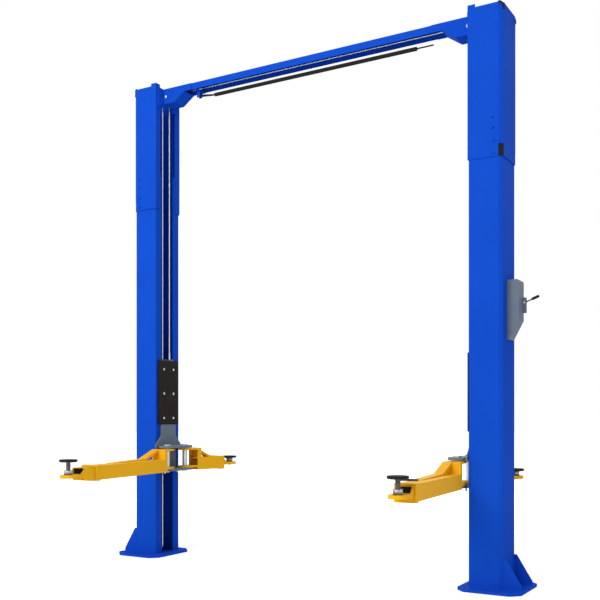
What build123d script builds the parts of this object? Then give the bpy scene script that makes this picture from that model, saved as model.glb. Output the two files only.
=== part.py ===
from build123d import *
import math
import os

# A two post car lift in millimetres. X runs from the left column to the right one,
# Y runs away from the viewer and Z is up. The origin is on the floor, midway
# between the columns, at the centre of the anchor hole pattern.

# Columns: folded C sections, open towards the bay
bay_half = 1316
column_depth = 222
column_width = 290
column_wall = 6
column_bevel = 22
column_lip = 70
column_top = 3110

# Extensions wrap the column heads
extension_wall = 6
extension_bottom = 2810
extension_top = 3800
extension_gap = 0.5
extension_lip = 50
bottom_notch = 80
top_notch = 50
corner_tab_length = 50
corner_tab_height = 20
bolt_hole_radius = 8
empty_hole_heights = (180, 250)
bolt_row_inset = 55

# Base plates and their gussets
plate_thickness = 20
plate_outside = 136
plate_side = 95
plate_inside = 65
plate_corner = 60
gusset_height = 194
gusset_thickness = 10
gusset_top = 18
gusset_setback = 14
gusset_end = 25
anchor_radius = 10.5
anchor_edge = 52

# Overhead beam: a channel open downward, with a deeper head at each end
beam_top = extension_top - 10
beam_width = 120
beam_height = 50
beam_wall = 5
head_plate = 6
head_depth = 122
head_flat = bay_half - 121
head_knee = bay_half - 226
head_inner_end = bay_half - 296
seat_plate = 10
seat_height = 150
seat_half = 130
seat_rim = 8
seat_slot_gap = 5

# Sheaves and equaliser cables
cable_radius = 5
cable_x = bay_half + 15
cable_y = 44
head_sheave_radius = 42
head_sheave_z = beam_top - 62
sheave_width = 16
groove_gap = 0.4
sheave_seat_gap = 0.3
sheave_pin_radius = 12
base_sheave_radius = 34
base_sheave_z = 82
base_cheek = 5
base_cheek_gap = 2
base_cheek_half = 20
base_cheek_top = 106

# Shut-off bar under the beam
bar_z = beam_top - 108
bar_pivot_inset = 331
bar_pivot_x = bar_pivot_inset - bay_half
bar_pivot_z = beam_top - 90
bar_radius = 5
foam_radius = 14
foam_start = bar_pivot_x + 150
foam_inset = 426
foam_end = bay_half - foam_inset
bar_inset = 303
bar_end = bay_half - bar_inset
pivot_pin_radius = 5
bracket_plate = 4
bracket_width = 30

# Control cover and lock release lever on the right column
cover_depth = 80
cover_y0 = -43
cover_y1 = 72
cover_z0 = 1635
cover_z1 = 2025
cover_slope_start = 1760
cover_foot_depth = 14
cover_round = 18
cover_wall = 3
lever_block_depth = 20
lever_block_width = 26
lever_z0 = 1812
lever_z1 = 1912
lever_y = 52
lever_pivot_z = 1880
lever_radius = 4
lever_grip_radius = 9
lever_length = 95
lever_grip_length = 52
lever_rise = 38

# Carriages: heights are those of the left one at rest
arm_bottom = 690
arm_space = 180
arm_top = arm_bottom + arm_space
right_carriage_drop = 32
lower_bracket_z = arm_bottom + 2
upper_bracket_z = arm_top + 6
carriage_lift = 110
carriage_bottom = arm_bottom + carriage_lift
carriage_height = 800
carriage_top = carriage_bottom + carriage_height
carriage_plate = 10
carriage_face_x = bay_half + 26
carriage_half = 125
side_plate_y = 115
side_plate_end = bay_half + column_depth - 26
slider_gap = 0.5
slider_height = 120
slider_inset = 10
front_slider_y = 79
rear_slider_y0 = 85
rear_slider_y1 = 117
web_thickness = 12
web_y = 70
face_gap = 6
face_plate = 8
face_foot_half = 95
face_flare_half = 162
face_flare_z = upper_bracket_z + 24
face_neck_half = 92
face_neck_z = upper_bracket_z + 99
neck_fillet = 20
backing_plate = 10
backing_lap = 30
shelf_x = bay_half + 124
cable_block_height = 30
cable_block_width = 28
pad_half = 125
pad_thickness = 10
pad_bottom = carriage_bottom + 265
pad_top = carriage_top - 14

# Arm brackets and pins
pin_x = bay_half - 91
pin_y = 113
pin_radius = 19
pin_head_radius = 27
pin_head_height = 10
bracket_radius = 62
bracket_thickness = 18
pin_fit = 0.1
ear_gap = 0.5
running_gap = 0.3
pull_pin_radius = 7
pull_pin_drop = 24
pull_pin_x = pin_x + 50

# Swing arms
arm_width = 120
arm_height = 100
arm_wall = 6
ear_thickness = 15
ear_radius = 58
root_start = 93
root_end = 130
root_plate = 8
brace_depth = 14
front_brace_end = 310
front_brace_foot = 750
back_brace_end = 250
back_brace_foot = 320
brace_foot_height = 7
collar_length = 45
collar_thickness = 5
front_arm_length = 1040
back_arm_length = 378
inner_gap = 2
inner_seat_gap = 0.5
inner_wall = 6
front_inner_start = 500
back_inner_start = 107
left_front_drawn = 113

# Pad holders and screw pads
holder_reach = 117
holder_half = 56
holder_bottom = 28
holder_thickness = 22
holder_lap = 60
holder_rib = 10
boss_radius = 27
boss_height = 30
screw_radius = 16
front_screw_length = 92
back_screw_length = 60
saddle_radius = 58
saddle_thickness = 6
rubber_radius = 61
rubber_thickness = 12

# Where each arm stands, in degrees from straight forward or straight back,
# positive towards the bay, and how high its pad is screwed above the holder
left_front_angle = 8
left_back_angle = 13
right_front_angle = -4.4
right_back_angle = -22
front_screw_rise = 56
back_screw_rise = 2


def block(x0, x1, y0, y1, z0, z1):
    """A box between two corners."""
    size = (abs(x1 - x0), abs(y1 - y0), abs(z1 - z0))
    return Pos((x0 + x1) / 2, (y0 + y1) / 2, (z0 + z1) / 2) * Box(*size)


def round_bar(radius, z0, z1, x=0, y=0):
    """An upright cylinder."""
    return Pos(x, y, (z0 + z1) / 2) * Cylinder(radius, z1 - z0)


def cross_bar(radius, x, z, y0, y1):
    """A cylinder lying along Y."""
    return Pos(x, (y0 + y1) / 2, z) * Rot(90, 0, 0) * Cylinder(radius, y1 - y0)


def plan_prism(points, z0, z1):
    """A flat outline in X and Y, raised from z0 to z1."""
    return Pos(0, 0, z0) * extrude(make_face(Polyline(*points, close=True)), z1 - z0)


def side_prism(points, y0, y1):
    """A flat outline in X and Z, carried from y0 to y1."""
    outline = [Vector(x, y0, z) for x, z in points]
    return extrude(make_face(Polyline(*outline, close=True)), y1 - y0, dir=(0, 1, 0))


def end_prism(points, x0, x1):
    """A flat outline in Y and Z, carried from x0 to x1."""
    outline = [Vector(x0, y, z) for y, z in points]
    return extrude(make_face(Polyline(*outline, close=True)), x1 - x0, dir=(1, 0, 0))


def on_side(shape, side):
    """A shape drawn on the right column, or its mirror image on the left one."""
    return shape if side == 1 else mirror(shape, about=Plane.YZ)


# Folded C section


def c_section(offset, wall, lip, z0, z1):
    """A C section whose outside stands off the column's outline by offset."""
    inner = bay_half - offset
    outer = bay_half + column_depth + offset
    half = column_width / 2 + offset
    leg = column_bevel + offset * (2 - math.sqrt(2))
    slim_leg = leg - wall * (2 - math.sqrt(2))
    outline = [(inner, -half), (outer - leg, -half), (outer, -half + leg),
               (outer, half - leg), (outer - leg, half), (inner, half)]
    hollow = [(inner + wall, -half + wall), (outer - wall - slim_leg, -half + wall),
              (outer - wall, -half + wall + slim_leg),
              (outer - wall, half - wall - slim_leg),
              (outer - wall - slim_leg, half - wall), (inner + wall, half - wall)]
    shell = plan_prism(outline, z0, z1) - plan_prism(hollow, z0 - 1, z1 + 1)
    slot_half = half - lip
    return shell - block(inner - 1, inner + wall + 1, -slot_half, slot_half, z0 - 1, z1 + 1)


def make_column():
    return c_section(0, column_wall, column_lip, plate_thickness, column_top)


def make_extension():
    """The upper box, with a notch at both ends of each bevel and two corner tabs."""
    offset = extension_gap + extension_wall
    lip = extension_lip + offset
    part = c_section(offset, extension_wall, lip, extension_bottom, extension_top)
    inner = bay_half - offset
    outer = bay_half + column_depth + offset
    half = column_width / 2 + offset
    leg = column_bevel + offset
    for side in (-1, 1):
        y0, y1 = side * (half + 1), side * (half - leg)
        low = (extension_bottom - 1, extension_bottom + bottom_notch)
        high = (extension_top - top_notch, extension_top + 1)
        for z0, z1 in (low, high):
            part -= block(outer - leg, outer + 1, y0, y1, z0, z1)
        tab_z = (extension_top, extension_top + corner_tab_height)
        edge = side * half
        part += block(inner, inner + corner_tab_length, edge, edge - side * extension_wall, *tab_z)
        part += block(inner, inner + extension_wall, edge, edge - side * corner_tab_length, *tab_z)
        for height in empty_hole_heights:
            z = extension_bottom + height
            hole_x = outer - leg - bolt_row_inset + column_bevel
            part -= cross_bar(bolt_hole_radius, hole_x, z, edge - 12, edge + 12)
    return part


def make_base_plate():
    """The floor plate with one gusset in the plane of each side of the column."""
    inner = bay_half - plate_inside
    outer = bay_half + column_depth + plate_outside
    half = column_width / 2 + plate_side
    plate = block(inner, outer, -half, half, 0, plate_thickness)
    plate = chamfer(plate.edges().filter_by(Axis.Z), plate_corner)
    for x, y in anchor_places():
        plate -= round_bar(anchor_radius, -1, plate_thickness + 1, x, y)
    face = bay_half + column_depth
    top = plate_thickness + gusset_height
    slope = [(face, plate_thickness), (outer - gusset_setback, plate_thickness),
             (outer - gusset_setback, plate_thickness + gusset_end),
             (face + gusset_top, top), (face, top)]
    for side in (-1, 1):
        y = side * (column_width / 2 - column_bevel - gusset_thickness / 2)
        plate += side_prism(slope, y - gusset_thickness / 2, y + gusset_thickness / 2)
    return plate


def anchor_places():
    """Anchor holes of one plate: four at the corners and one between the gussets."""
    x_in = bay_half - plate_inside + anchor_edge
    x_out = bay_half + column_depth + plate_outside - anchor_edge
    y = column_width / 2 + plate_side - anchor_edge
    return [(x_in, -y), (x_in, y), (x_out, -y), (x_out, y), (x_out, 0)]


# Overhead beam


def make_beam():
    """The channel, between the seat plates of its two heads."""
    end = bay_half - extension_gap - extension_wall - seat_plate
    half = beam_width / 2
    bottom = beam_top - beam_height
    part = block(-end, end, -half, half, bottom, beam_top)
    inside = half - beam_wall
    return part - block(-end - 1, end + 1, -inside, inside, bottom - 1, beam_top - beam_wall)


def make_beam_head():
    """Two deep side plates over the channel's flanges, a floor and a seat plate."""
    face = bay_half - extension_gap - extension_wall
    seat_bottom = beam_top - seat_height
    channel_bottom = beam_top - beam_height
    head_bottom = beam_top - head_depth
    side = [(head_inner_end, channel_bottom), (head_knee, channel_bottom),
            (head_flat, head_bottom), (face, head_bottom), (face, beam_top),
            (head_inner_end, beam_top)]
    part = block(face - seat_plate, face, -seat_half, seat_half, seat_bottom, beam_top)
    slot_half = cable_y + sheave_width / 2 + seat_slot_gap
    part -= block(face - seat_plate - 1, face + 1, -slot_half, slot_half,
                  seat_bottom - 1, beam_top - seat_rim)
    for edge in (-1, 1):
        near, far = edge * beam_width / 2, edge * (beam_width / 2 + head_plate)
        part += side_prism(side, min(near, far), max(near, far))
    floor = [(head_knee, channel_bottom), (head_flat, head_bottom), (face, head_bottom),
             (face, head_bottom + head_plate), (head_flat + head_plate / 2, head_bottom + head_plate),
             (head_knee + head_plate * 1.5, channel_bottom)]
    part += side_prism(floor, -beam_width / 2, beam_width / 2)
    pin_hole = cross_bar(sheave_pin_radius + sheave_seat_gap, head_sheave_x(), head_sheave_z,
                         -seat_half, seat_half)
    return part - pin_hole


# Sheaves and cables


def head_sheave_x():
    """The head sheave stands so that its groove meets the cable's upright run."""
    return cable_x - head_sheave_radius - cable_radius


def base_sheave_x():
    return cable_x + base_sheave_radius + cable_radius


def make_sheave(radius, x, y, z):
    """A grooved wheel on a cross axis, bored for its pin."""
    half = sheave_width / 2
    rim = radius + cable_radius
    bore = sheave_pin_radius + sheave_seat_gap
    groove = cable_radius + groove_gap
    profile = [(bore, -half), (rim, -half), (rim, -groove), (radius - groove_gap, -groove),
               (radius - groove_gap, groove), (rim, groove), (rim, half), (bore, half)]
    outline = Polyline(*[Vector(r, 0, t) for r, t in profile], close=True)
    wheel = revolve(make_face(outline), Axis.Z)
    return Pos(x, y, z) * Rot(90, 0, 0) * wheel


def make_head_sheaves():
    """On each column a pin through the beam head carries two sheaves side by side."""
    reach = beam_width / 2 + head_plate
    solids = []
    for side in (-1, 1):
        x = side * head_sheave_x()
        solids.append(cross_bar(sheave_pin_radius, x, head_sheave_z, -reach, reach))
        for y in (-cable_y, cable_y):
            solids.append(make_sheave(head_sheave_radius, x, y, head_sheave_z))
    return Compound(solids)


def make_base_sheaves():
    """At the foot of each column one sheave stands between two cheeks."""
    inner = sheave_width / 2 + base_cheek_gap
    outer = inner + base_cheek
    solids = []
    for side in (-1, 1):
        x, y = side * base_sheave_x(), side * cable_y
        solids.append(make_sheave(base_sheave_radius, x, y, base_sheave_z))
        stand = cross_bar(sheave_pin_radius, x, base_sheave_z, y - inner, y + inner)
        for y0, y1 in ((y - outer, y - inner), (y + inner, y + outer)):
            stand += block(x - base_cheek_half, x + base_cheek_half, y0, y1,
                           plate_thickness, base_cheek_top)
        solids.append(stand)
    return Compound(solids)


def cable_bend(radius, x, y, z, start, sweep_angle):
    """Part of a ring of cable round a cross axis; 0 degrees points along X, 90 along Z."""
    section = Plane(origin=(x + radius, y, z), z_dir=(0, 0, 1)) * Circle(cable_radius)
    ring = revolve(section, Axis((x, y, z), (0, -1, 0)), sweep_angle)
    return ring.rotate(Axis((x, y, z), (0, -1, 0)), start)


def make_equaliser_cable(side):
    """One cable from above a carriage, over both heads, down and round the far foot."""
    y = -side * cable_y
    lead = head_sheave_radius + cable_radius
    foot = base_sheave_radius + cable_radius
    head_x = head_sheave_x()
    run = Pos(0, y, head_sheave_z + lead) * Rot(0, 90, 0) * Cylinder(cable_radius, 2 * head_x)
    part = run + cable_bend(lead, -head_x, y, head_sheave_z, 90, 90)
    part += cable_bend(lead, head_x, y, head_sheave_z, 0, 90)
    part += round_bar(cable_radius, base_sheave_z, head_sheave_z, -side * cable_x, y)
    part += cable_bend(foot, -side * base_sheave_x(), y, base_sheave_z, 180, 180)
    return part


def make_lift_run(side, drop):
    """The run from the head sheave down to the cable block of one carriage."""
    return round_bar(cable_radius, carriage_top - drop, head_sheave_z,
                     side * cable_x, -side * cable_y)


def make_return_run(side, drop):
    """The run from the foot sheave up to the shelf of one carriage."""
    x = base_sheave_x() + base_sheave_radius + cable_radius
    return round_bar(cable_radius, base_sheave_z, carriage_bottom - drop,
                     side * x, side * cable_y)


# Shut-off bar


def make_bar_bracket():
    """A strap across the channel's flanges with two ears for the pivot pin."""
    x0, x1 = bar_pivot_x - bracket_width / 2, bar_pivot_x + bracket_width / 2
    top = beam_top - beam_height
    half = beam_width / 2
    part = block(x0, x1, -half, half, top - bracket_plate, top)
    ear = foam_radius / 2 + bar_radius
    for edge in (-1, 1):
        y0, y1 = sorted((edge * ear, edge * (ear + bracket_plate)))
        part += block(x0, x1, y0, y1, bar_pivot_z - bracket_width / 2, top)
    return part + cross_bar(pivot_pin_radius, bar_pivot_x, bar_pivot_z, -ear, ear)


def make_bar_rod():
    """The link on the pivot and the thin rod that runs on to the free end."""
    reach = bar_radius + bracket_plate
    link = side_prism([(bar_pivot_x, bar_pivot_z - reach), (foam_start, bar_z - bar_radius),
                       (foam_start, bar_z + bar_radius), (bar_pivot_x, bar_pivot_z + reach)],
                      -bar_radius, bar_radius)
    part = link + cross_bar(reach, bar_pivot_x, bar_pivot_z, -bar_radius, bar_radius)
    length = bar_end - foam_start
    part += Pos(foam_start + length / 2, 0, bar_z) * Rot(0, 90, 0) * Cylinder(bar_radius, length)
    bore = pivot_pin_radius + running_gap
    return part - cross_bar(bore, bar_pivot_x, bar_pivot_z, -foam_radius, foam_radius)


def make_bar_foam():
    """The foam sleeve over the rod, with rounded ends."""
    length = foam_end - foam_start
    sleeve = Cylinder(foam_radius, length) - Cylinder(bar_radius, length)
    rims = sleeve.edges().filter_by(GeomType.CIRCLE).sort_by(SortBy.RADIUS)[-2:]
    sleeve = fillet(rims, foam_radius / 3)
    return Pos(foam_start + length / 2, 0, bar_z) * Rot(0, 90, 0) * sleeve


# Control cover and lever


def make_control_cover():
    """A pressed cover that slopes back to the column below, with two ears for the lever."""
    face = bay_half + column_depth
    front = face + cover_depth
    profile = [(face, cover_z0), (face + cover_foot_depth, cover_z0),
               (front, cover_slope_start), (front, cover_z1), (face, cover_z1)]
    part = side_prism(profile, cover_y0, cover_y1)
    top_edge = part.edges().filter_by(Axis.Y).group_by(Axis.Z)[-1].sort_by(Axis.X)[-1]
    part = fillet(top_edge, cover_round)
    rims = part.faces().filter_by(Axis.Y).edges().filter_by(lambda e: e.center().X > face + 1)
    part = fillet(rims, cover_wall + 2)
    foot, depth = face + cover_foot_depth - cover_wall, front - cover_wall
    low, high = cover_z0 + cover_wall, cover_z1 - cover_wall
    hollow = side_prism([(face - 1, low), (foot, low), (depth, cover_slope_start + cover_wall),
                         (depth, high - cover_round), (depth - cover_round, high),
                         (face - 1, high)], cover_y0 + cover_wall, cover_y1 - cover_wall)
    part -= hollow
    half = lever_block_width / 2
    for y0, y1 in ((lever_y - half, lever_y - half + 5), (lever_y + half - 5, lever_y + half)):
        part += block(front, front + lever_block_depth, y0, y1, lever_z0, lever_z1)
    return part + cross_bar(pivot_pin_radius, lever_pivot_x(), lever_pivot_z,
                            lever_y - half, lever_y + half)


def lever_pivot_x():
    return bay_half + column_depth + cover_depth + lever_block_depth / 2


def make_lever():
    """A hub on the pin, a thin rod and a round grip."""
    half = lever_block_width / 2 - 5 - running_gap
    start = Vector(lever_pivot_x(), lever_y, lever_pivot_z)
    along = Vector(lever_length, 0, lever_rise).normalized()
    length = math.hypot(lever_length, lever_rise)
    hub = cross_bar(lever_radius * 2, start.X, start.Z, lever_y - half, lever_y + half)
    rod_plane = Plane(origin=start, z_dir=along)
    rod = extrude(rod_plane * Circle(lever_radius), length)
    grip_plane = Plane(origin=start + along * (length - lever_grip_length), z_dir=along)
    grip = extrude(grip_plane * Circle(lever_grip_radius), lever_grip_length)
    grip = fillet(grip.edges(), lever_grip_radius / 2)
    bore = cross_bar(pivot_pin_radius + running_gap, start.X, start.Z, lever_y - 50, lever_y + 50)
    return hub + rod + grip - bore


# Carriages, drawn on the right column at the height of the left one at rest


def make_carriage():
    """The frame inside the column, the webs through the slot, the face plate and brackets."""
    low, high = carriage_bottom, carriage_top
    back = carriage_face_x + carriage_plate
    part = block(carriage_face_x, back, -carriage_half, carriage_half, low, high)
    part -= block(carriage_face_x - 1, back + 1, -side_plate_y / 2, side_plate_y / 2,
                  low + slider_height, high - slider_height)
    for edge in (-1, 1):
        y0, y1 = sorted((edge * (side_plate_y - carriage_plate), edge * side_plate_y))
        part += block(back, side_plate_end, y0, y1, low, high)
        y0, y1 = sorted((edge * (web_y - web_thickness), edge * web_y))
        part += block(face_x(), carriage_face_x, y0, y1, lower_bracket_z, high)
    part += block(back, shelf_x, -side_plate_y, side_plate_y, low, low + carriage_plate)
    part += block(side_plate_end - 80, side_plate_end, -side_plate_y, side_plate_y,
                  high - carriage_plate, high)
    part += block(face_x(), back, -web_y, cable_block_width / 2 - cable_y,
                  high - cable_block_height, high)
    part += make_face_plate()
    for z in (lower_bracket_z, upper_bracket_z):
        part += make_bracket(z)
    return part


def face_x():
    """The column side of the face plate."""
    return bay_half - face_gap


def make_face_plate():
    """The bottle-shaped plate in front of the slot, and the pad's backing inside it."""
    outline = [(face_foot_half, lower_bracket_z), (face_foot_half, upper_bracket_z),
               (face_flare_half, upper_bracket_z), (face_flare_half, face_flare_z),
               (face_neck_half, face_neck_z), (face_neck_half, pad_bottom)]
    outline += [(-y, z) for y, z in reversed(outline)]
    plate = end_prism(outline, face_x() - face_plate, face_x())
    bends = [e for e in plate.edges().filter_by(Axis.X)
             if abs(e.center().Z - face_neck_z) < 1 or abs(e.center().Z - face_flare_z) < 1]
    backing = block(face_x(), face_x() + backing_plate, -web_y, web_y,
                    pad_bottom - backing_lap, pad_top)
    return fillet(bends, neck_fillet) + backing


def make_bracket(z):
    """A flat bracket rounded about both pins and bored for them."""
    inner = face_x() - face_plate
    outline = [(inner, -face_foot_half), (inner, face_foot_half),
               (pin_x, pin_y + bracket_radius), (pin_x - bracket_radius, pin_y),
               (pin_x - bracket_radius, -pin_y), (pin_x, -pin_y - bracket_radius)]
    part = plan_prism(outline, z, z + bracket_thickness)
    for y in (-pin_y, pin_y):
        part += round_bar(bracket_radius, z, z + bracket_thickness, pin_x, y)
    for y in (-pin_y, pin_y):
        part -= round_bar(pin_radius + pin_fit, z - 1, z + bracket_thickness + 1, pin_x, y)
    return part


def make_sliders():
    """Bearing blocks at the top and bottom of the frame, front and rear."""
    solids = []
    inner_x = bay_half + column_wall + slider_gap
    outer_x = bay_half + column_depth - column_wall - slider_gap
    side_y = column_width / 2 - column_wall - slider_gap
    low = carriage_bottom + slider_inset
    high = carriage_top - slider_inset - slider_height
    for z in (low, high):
        for edge in (-1, 1):
            y0, y1 = sorted((edge * front_slider_y, edge * side_y))
            solids.append(block(inner_x, carriage_face_x, y0, y1, z, z + slider_height))
            y0, y1 = sorted((edge * rear_slider_y0, edge * rear_slider_y1))
            solids.append(block(side_plate_end, outer_x, y0, y1, z, z + slider_height))
    return Compound(solids)


def make_door_pad():
    """The rubber guard bolted to the backing in the slot."""
    front = face_x() - pad_thickness
    pad = block(front, face_x(), -pad_half, pad_half, pad_bottom, pad_top)
    return fillet(pad.edges().filter_by(Axis.X), 6)


def make_arm_pins():
    """Both arm pins with their heads, and a short pull pin beside each."""
    solids = []
    top = upper_bracket_z + bracket_thickness
    for y in (-pin_y, pin_y):
        pin = round_bar(pin_radius, lower_bracket_z - pin_head_height, top, pin_x, y)
        pin += round_bar(pin_head_radius, top, top + pin_head_height, pin_x, y)
        solids.append(pin)
        x, side = pull_pin_x, math.copysign(1, y)
        pull_y = side * (face_foot_half - pull_pin_radius * 2)
        solids.append(round_bar(pull_pin_radius, lower_bracket_z - pull_pin_drop,
                                lower_bracket_z, x, pull_y))
    return Compound(solids)


# Swing arms, drawn with the pin at the origin and the arm along X


def make_outer_arm(length, brace_end, brace_foot, outside):
    """A box tube with an end collar, a tall root with two ears, and a brace on the
    side away from the bay, which outside gives as 1 or -1."""
    half = arm_width / 2
    top = arm_bottom + arm_height
    collar = half + collar_thickness
    part = block(root_start, length, -half, half, arm_bottom, top)
    part += block(length - collar_length, length, -collar, collar,
                  arm_bottom - collar_thickness, top + collar_thickness)
    part -= block(root_start - 1, length + 1, -half + arm_wall, half - arm_wall,
                  arm_bottom + arm_wall, top - arm_wall)
    for edge in (-1, 1):
        y0, y1 = sorted((edge * (half - root_plate), edge * half))
        part += block(root_start, root_end, y0, y1, top, arm_top)
    part += block(root_end - root_plate, root_end, -half, half, top, arm_top)
    part += make_ear(lower_bracket_z + bracket_thickness + ear_gap, root_start + root_plate)
    part += make_ear(arm_top - ear_thickness, root_end)
    slope = [(root_end, arm_top), (root_end - root_plate, arm_top),
             (root_end - root_plate, arm_top - brace_depth), (brace_end, top), (brace_foot, top),
             (brace_foot, top + brace_foot_height / 2),
             (brace_end + brace_depth, top + brace_depth)]
    y0, y1 = sorted((0, outside * half))
    return part + side_prism(slope, y0, y1)


def make_ear(z, reach):
    """A plate that runs from the root and is rounded about the pin."""
    ear = block(0, reach, -ear_radius, ear_radius, z, z + ear_thickness)
    ear += round_bar(ear_radius, z, z + ear_thickness)
    return ear - round_bar(pin_radius + running_gap, z - 1, z + ear_thickness + 1)


def make_inner_arm(start, length, drawn):
    """The telescoping tube, the holder plate with its boss, and the rib between them."""
    half = arm_width / 2 - arm_wall - inner_gap
    low = arm_bottom + arm_wall + inner_seat_gap
    high = arm_bottom + arm_height - arm_wall - inner_gap
    start, end = start + drawn, length + drawn
    reach = end + holder_reach
    part = block(start, end, -half, half, low, high)
    part -= block(start - 1, end + 1, -half + inner_wall, half - inner_wall,
                  low + inner_wall, high - inner_wall)
    part += block(end - inner_wall, end, -half, half, low, high)
    plate_z = arm_bottom + holder_bottom
    plate = block(end, reach, -half, half, plate_z, plate_z + holder_thickness)
    plate += round_bar(holder_half, plate_z, plate_z + holder_thickness, reach)
    part += plate
    boss_top = plate_z + holder_thickness + boss_height
    part += round_bar(boss_radius, plate_z, boss_top, reach)
    for edge in (-1, 1):
        y0, y1 = sorted((edge * (half - holder_rib), edge * half))
        part += side_prism([(end, plate_z), (end + holder_lap, plate_z), (end, high)], y0, y1)
    return part - round_bar(screw_radius + running_gap, plate_z - 1, boss_top + 1, reach)


def make_pad_screw(reach, length, rise):
    """The stem and its steel saddle."""
    z = saddle_z(rise)
    stem = round_bar(screw_radius, z - length, z, reach)
    return stem + round_bar(saddle_radius, z, z + saddle_thickness, reach)


def saddle_z(rise):
    """The underside of the saddle."""
    return arm_bottom + holder_bottom + holder_thickness + boss_height + rise


def make_rubber(reach, rise):
    """The round rubber on the saddle, with a shallow dish in its top."""
    z = saddle_z(rise) + saddle_thickness
    disc = round_bar(rubber_radius, z, z + rubber_thickness, reach)
    disc = fillet(disc.edges().filter_by(GeomType.CIRCLE).sort_by(Axis.Z)[-1], 3)
    return disc - round_bar(rubber_radius * 0.7, z + rubber_thickness - 3,
                            z + rubber_thickness + 1, reach)


# Assembly


def make_nodes():
    """Every piece by its name, in its place."""
    nodes = {}
    for name, side in (("left", -1), ("right", 1)):
        drop = right_carriage_drop if side == 1 else 0
        lowered = Pos(0, 0, -drop)
        turned = Rot(0, 0, 90 - 90 * side)
        nodes[name + "_base_plate"] = on_side(make_base_plate(), side)
        nodes[name + "_column"] = on_side(make_column(), side)
        nodes[name + "_extension"] = on_side(make_extension(), side)
        nodes[name + "_beam_head"] = on_side(make_beam_head(), side)
        nodes[name + "_carriage"] = lowered * turned * make_carriage()
        nodes[name + "_slider_blocks"] = lowered * on_side(make_sliders(), side)
        nodes[name + "_door_pad"] = lowered * on_side(make_door_pad(), side)
        nodes[name + "_arm_pins"] = lowered * on_side(make_arm_pins(), side)
        nodes[name + "_lift_cable_run"] = make_lift_run(side, drop)
        nodes[name + "_return_cable_run"] = make_return_run(side, drop)
    nodes["overhead_beam"] = make_beam()
    nodes["head_sheaves"] = make_head_sheaves()
    nodes["base_sheaves"] = make_base_sheaves()
    nodes["equaliser_cables"] = make_equaliser_cable(-1) + make_equaliser_cable(1)
    nodes["shut_off_bracket"] = make_bar_bracket()
    nodes["shut_off_rod"] = make_bar_rod()
    nodes["shut_off_foam"] = make_bar_foam()
    nodes["control_cover"] = make_control_cover()
    nodes["release_lever"] = make_lever()
    add_arms(nodes)
    return nodes


def add_arms(nodes):
    """Four arms, each with its inner arm, its screw and its rubber."""
    front = (front_arm_length, front_inner_start, front_screw_length, front_screw_rise,
             front_brace_end, front_brace_foot)
    back = (back_arm_length, back_inner_start, back_screw_length, back_screw_rise,
            back_brace_end, back_brace_foot)
    arms = [("left_front", -1, -1, left_front_angle, left_front_drawn, front),
            ("left_back", -1, 1, left_back_angle, 0, back),
            ("right_front", 1, -1, right_front_angle, 0, front),
            ("right_back", 1, 1, right_back_angle, 0, back)]
    for name, column, end, angle, drawn, sizes in arms:
        length, inner_start, screw_length, rise, brace_end, brace_foot = sizes
        drop = right_carriage_drop if column == 1 else 0
        turn = end * 90 + column * end * angle
        place = Pos(column * pin_x, end * pin_y, -drop) * Rot(0, 0, turn)
        reach = length + holder_reach + drawn
        outer_arm = make_outer_arm(length, brace_end, brace_foot, -column * end)
        nodes[name + "_arm"] = place * outer_arm
        nodes[name + "_inner_arm"] = place * make_inner_arm(inner_start, length, drawn)
        nodes[name + "_pad_screw"] = place * make_pad_screw(reach, screw_length, rise)
        nodes[name + "_pad_rubber"] = place * make_rubber(reach, rise)


os.makedirs("parts", exist_ok=True)
for node_name, node_shape in make_nodes().items():
    export_step(node_shape, f"parts/{node_name}.step")
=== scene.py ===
import math

import bmesh
import bpy
import numpy as np
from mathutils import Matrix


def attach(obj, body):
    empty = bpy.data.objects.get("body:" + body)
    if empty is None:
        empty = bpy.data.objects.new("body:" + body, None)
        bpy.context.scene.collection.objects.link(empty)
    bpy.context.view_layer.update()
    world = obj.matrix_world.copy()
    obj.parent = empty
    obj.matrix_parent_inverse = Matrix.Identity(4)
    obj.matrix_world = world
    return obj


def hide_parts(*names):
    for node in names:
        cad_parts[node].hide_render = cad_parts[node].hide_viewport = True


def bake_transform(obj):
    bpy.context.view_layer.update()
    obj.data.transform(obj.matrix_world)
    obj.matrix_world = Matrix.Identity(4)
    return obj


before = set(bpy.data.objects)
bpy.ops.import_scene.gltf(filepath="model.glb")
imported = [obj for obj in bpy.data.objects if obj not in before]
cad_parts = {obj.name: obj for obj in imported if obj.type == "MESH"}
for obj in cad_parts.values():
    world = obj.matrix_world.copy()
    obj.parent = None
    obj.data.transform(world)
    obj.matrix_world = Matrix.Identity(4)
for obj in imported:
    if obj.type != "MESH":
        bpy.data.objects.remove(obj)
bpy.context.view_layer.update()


# Camera. It stands at eye height in front of the right column and looks level
# across the bay; the view is shifted up so that both column heads are inside.
camera_data = bpy.data.cameras.new("camera")
camera_data.lens = 52.7
camera_data.sensor_width = 36.0
camera_data.shift_y = 0.1913
camera_data.clip_end = 60.0
camera = bpy.data.objects.new("camera", camera_data)
camera.location = (3.284, -5.658, 1.144)
camera.rotation_euler = (math.radians(90), 0, math.radians(30.52))
bpy.context.collection.objects.link(camera)
bpy.context.scene.camera = camera
bpy.context.scene.view_settings.view_transform = "Standard"


# Studio. A white sweep lies under the lift and large soft boxes hang round it,
# the brightest in front. The lamps keep colours at the level they are written.
def linear(colour):
    """A six digit sRGB hex colour as linear red, green and blue, with an alpha of 1. A
    channel is divided by 12.92 where it is dark; elsewhere 0.055 is added, the sum is
    divided by 1.055 and raised to the power 2.4."""
    channel = np.array([int(colour[i:i + 2], 16) for i in (0, 2, 4)]) / 255
    curve = ((channel + 0.055) / 1.055) ** 2.4
    return (*np.where(channel <= 0.04045, channel / 12.92, curve), 1.0)


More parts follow.
